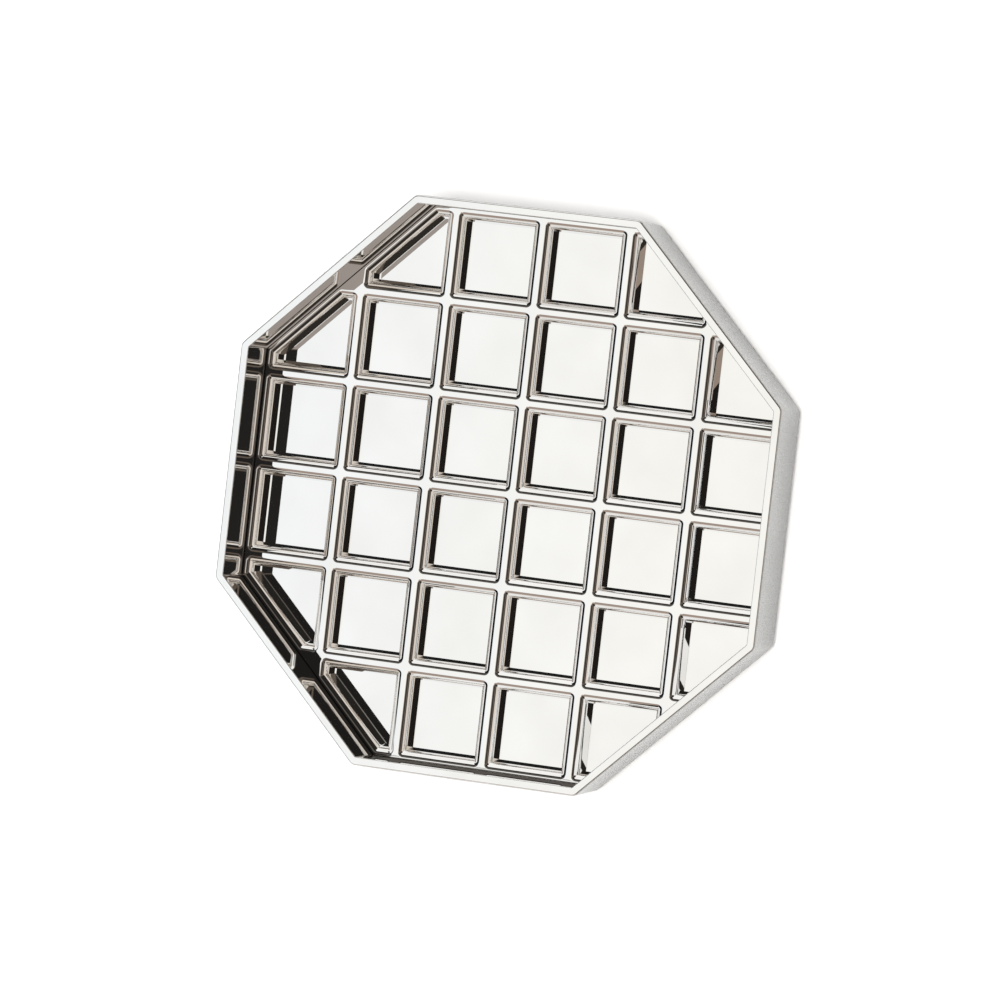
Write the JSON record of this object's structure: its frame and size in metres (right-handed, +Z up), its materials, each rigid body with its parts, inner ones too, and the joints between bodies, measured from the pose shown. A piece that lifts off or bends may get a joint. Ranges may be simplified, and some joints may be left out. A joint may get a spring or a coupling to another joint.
{
  "type": "octagonal lattice tray",
  "caption": "Octagonal silver-plated metal serving tray with a deep plain wall and a mirror floor divided into square and triangular recesses by crossing ribs.",
  "frame": {"origin": "centre of the tray on the surface that it rests on", "axes": "+Z up out of the tray, +X and +Y along the ribs and square to opposite flats of the wall"},
  "size_m": [0.4, 0.4, 0.0548],
  "materials": {
    "wall_plate": "bright plated, fine satin on the outside, polished inside",
    "mirror_plate": "mirror polished and plated",
    "base_metal": "brushed",
    "screw_steel": "plain",
    "felt": "dense felt"
  },
  "bodies": {
    "root": {"wall_band": "wall_plate", "edge_rail_1": "mirror_plate", "edge_rail_2": "mirror_plate", "edge_rail_3": "mirror_plate", "edge_rail_4": "mirror_plate", "edge_rail_5": "mirror_plate", "edge_rail_6": "mirror_plate", "edge_rail_7": "mirror_plate", "edge_rail_8": "mirror_plate", "rib_x_1": "mirror_plate", "rib_x_2": "mirror_plate", "rib_x_3": "mirror_plate", "rib_x_4": "mirror_plate", "rib_x_5": "mirror_plate", "rib_y_1": "mirror_plate", "rib_y_2": "mirror_plate", "rib_y_3": "mirror_plate", "rib_y_4": "mirror_plate", "rib_y_5": "mirror_plate", "floor_sheet": "mirror_plate", "base_plate": "base_metal", "rail_screw_1": "screw_steel", "rail_screw_2": "screw_steel", "rail_screw_3": "screw_steel", "rail_screw_4": "screw_steel", "rail_screw_5": "screw_steel", "rail_screw_6": "screw_steel", "rail_screw_7": "screw_steel", "rail_screw_8": "screw_steel", "rib_screw_1": "screw_steel", "rib_screw_2": "screw_steel", "rib_screw_3": "screw_steel", "rib_screw_4": "screw_steel", "felt_pad_1": "felt", "felt_pad_2": "felt", "felt_pad_3": "felt", "felt_pad_4": "felt", "felt_pad_5": "felt", "felt_pad_6": "felt", "felt_pad_7": "felt", "felt_pad_8": "felt"}
  },
  "joints": []
}
